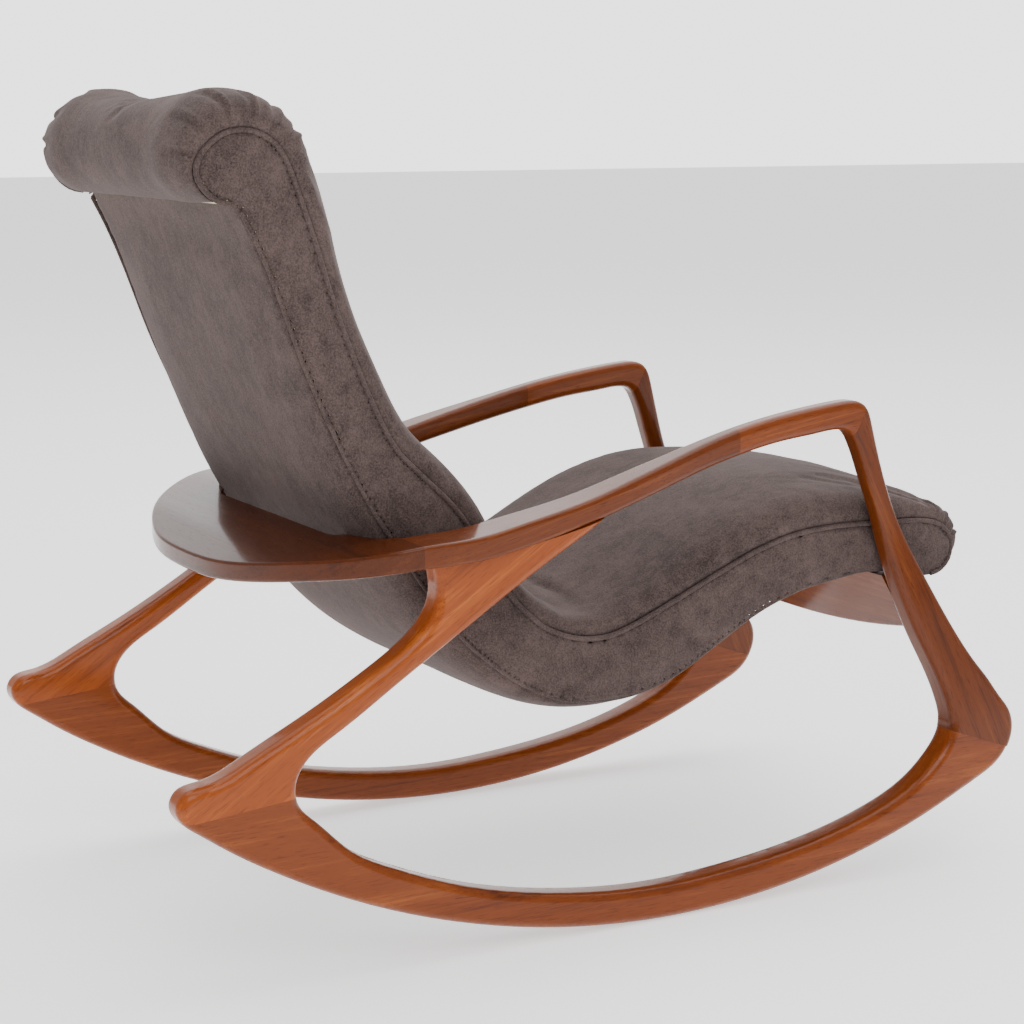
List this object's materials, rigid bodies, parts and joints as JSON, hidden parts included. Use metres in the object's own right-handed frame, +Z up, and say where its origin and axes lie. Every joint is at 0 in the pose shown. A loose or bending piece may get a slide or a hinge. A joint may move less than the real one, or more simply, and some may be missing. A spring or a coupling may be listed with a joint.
{
  "type": "rocking chair",
  "caption": "Low rocking chair: sculpted walnut side frames and wrap-round arm rail holding an S-curved upholstered seat and back with a head roll.",
  "frame": {"origin": "centre of the bounding box in X and Y, on the floor the rockers stand on", "axes": "+Z up, the sitter faces -Y, X runs side to side and is the symmetry axis; the sitter's right hand is on -X"},
  "size_m": [0.6692, 1.1701, 1.0014],
  "materials": {
    "walnut": "satin lacquered walnut",
    "dowel_wood": "unfinished hardwood dowel",
    "plywood": "raw plywood",
    "rail_wood": "raw hardwood",
    "zinc_steel": "zinc plated",
    "webbing": "woven jute webbing",
    "velvet": "grey-mauve pile velvet",
    "velvet_welt": "same velvet over cord",
    "burlap": "plain weave",
    "foam": "cut foam"
  },
  "bodies": {
    "root": {"arm_dowels": "dowel_wood", "arm_front_left": "walnut", "arm_front_right": "walnut", "arm_joint_dowels": "dowel_wood", "arm_rear_left": "walnut", "arm_rear_right": "walnut", "back_cover": "velvet", "back_foam": "foam", "back_rail": "walnut", "back_webbing": "webbing", "burlap": "burlap", "front_cross_rail": "zinc_steel", "front_cushion": "velvet", "front_leg_left": "walnut", "front_leg_right": "walnut", "front_stretcher": "walnut", "head_roll_core": "foam", "lumbar_cross_rail": "rail_wood", "rail_bolts": "zinc_steel", "rear_leg_left": "walnut", "rear_leg_right": "walnut", "rocker_dowels": "dowel_wood", "rocker_left": "walnut", "rocker_right": "walnut", "seat_cross_rail": "rail_wood", "seat_foam": "foam", "seat_nose_core": "rail_wood", "seat_screws": "zinc_steel", "seat_webbing": "webbing", "shell_side_left": "plywood", "shell_side_right": "plywood", "side_panel_left": "velvet", "side_panel_right": "velvet", "stretcher_dowels": "dowel_wood", "top_cross_rail": "rail_wood", "welt_left": "velvet_welt", "welt_right": "velvet_welt"}
  },
  "joints": []
}
